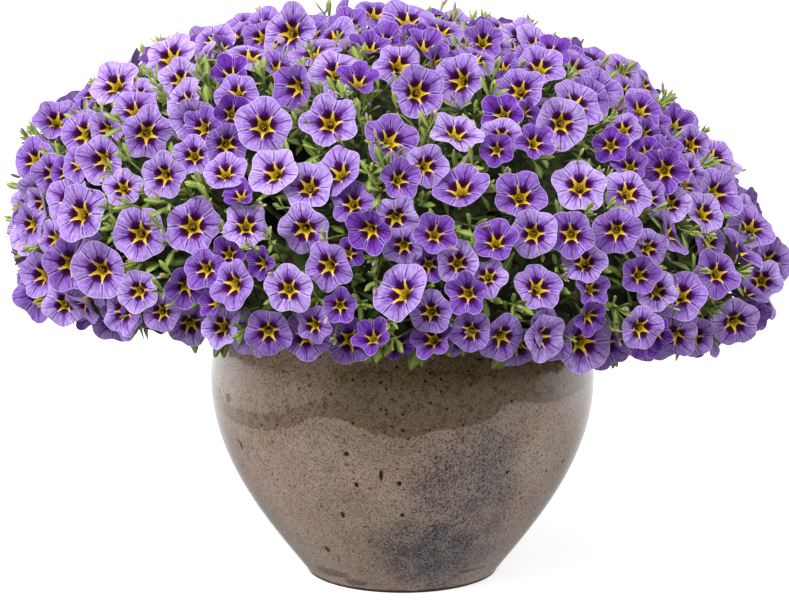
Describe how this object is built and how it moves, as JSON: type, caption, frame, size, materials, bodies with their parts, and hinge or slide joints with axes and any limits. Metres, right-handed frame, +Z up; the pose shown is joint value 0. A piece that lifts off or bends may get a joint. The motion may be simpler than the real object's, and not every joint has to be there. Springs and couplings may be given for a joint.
{
  "type": "calibrachoa in a glazed pot",
  "caption": "Mounded calibrachoa covered in five-lobed violet blooms with yellow star throats, growing from soil in a round-bellied glazed stoneware pot.",
  "frame": {"origin": "middle of the flat underside of the pot's foot, on the surface that the pot stands on", "axes": "+Z up through the pot's axis, -Y towards the side that the blooms face most, +X to the right seen from that side"},
  "size_m": [0.4974, 0.5019, 0.3806],
  "materials": {
    "glaze": "gloss",
    "soil": "matte",
    "petals": "matte",
    "leaves": "matte"
  },
  "bodies": {
    "root": {"pot": "glaze", "soil": "soil", "spray_01": "petals", "spray_02": "petals", "spray_03": "petals", "spray_04": "petals", "spray_05": "petals", "spray_06": "petals", "spray_07": "petals", "spray_08": "petals", "spray_09": "petals", "spray_10": "petals", "spray_11": "petals", "spray_12": "petals", "spray_13": "petals", "spray_14": "petals", "spray_15": "petals", "spray_16": "petals", "spray_17": "petals", "spray_18": "petals", "spray_19": "petals", "spray_20": "petals", "spray_21": "petals", "spray_22": "petals", "spray_23": "petals", "spray_24": "petals", "spray_25": "petals", "spray_26": "petals", "spray_27": "petals", "spray_28": "petals", "spray_29": "petals", "spray_30": "petals", "spray_31": "petals", "spray_32": "petals", "spray_33": "petals", "spray_34": "petals", "spray_35": "petals", "spray_36": "petals", "shoot_01": "leaves", "shoot_02": "leaves", "shoot_03": "leaves", "shoot_04": "leaves", "shoot_05": "leaves", "shoot_06": "leaves", "shoot_07": "leaves", "shoot_08": "leaves", "shoot_09": "leaves", "shoot_10": "leaves", "shoot_11": "leaves", "shoot_12": "leaves", "shoot_13": "leaves", "shoot_14": "leaves", "shoot_15": "leaves", "shoot_16": "leaves"}
  },
  "joints": []
}
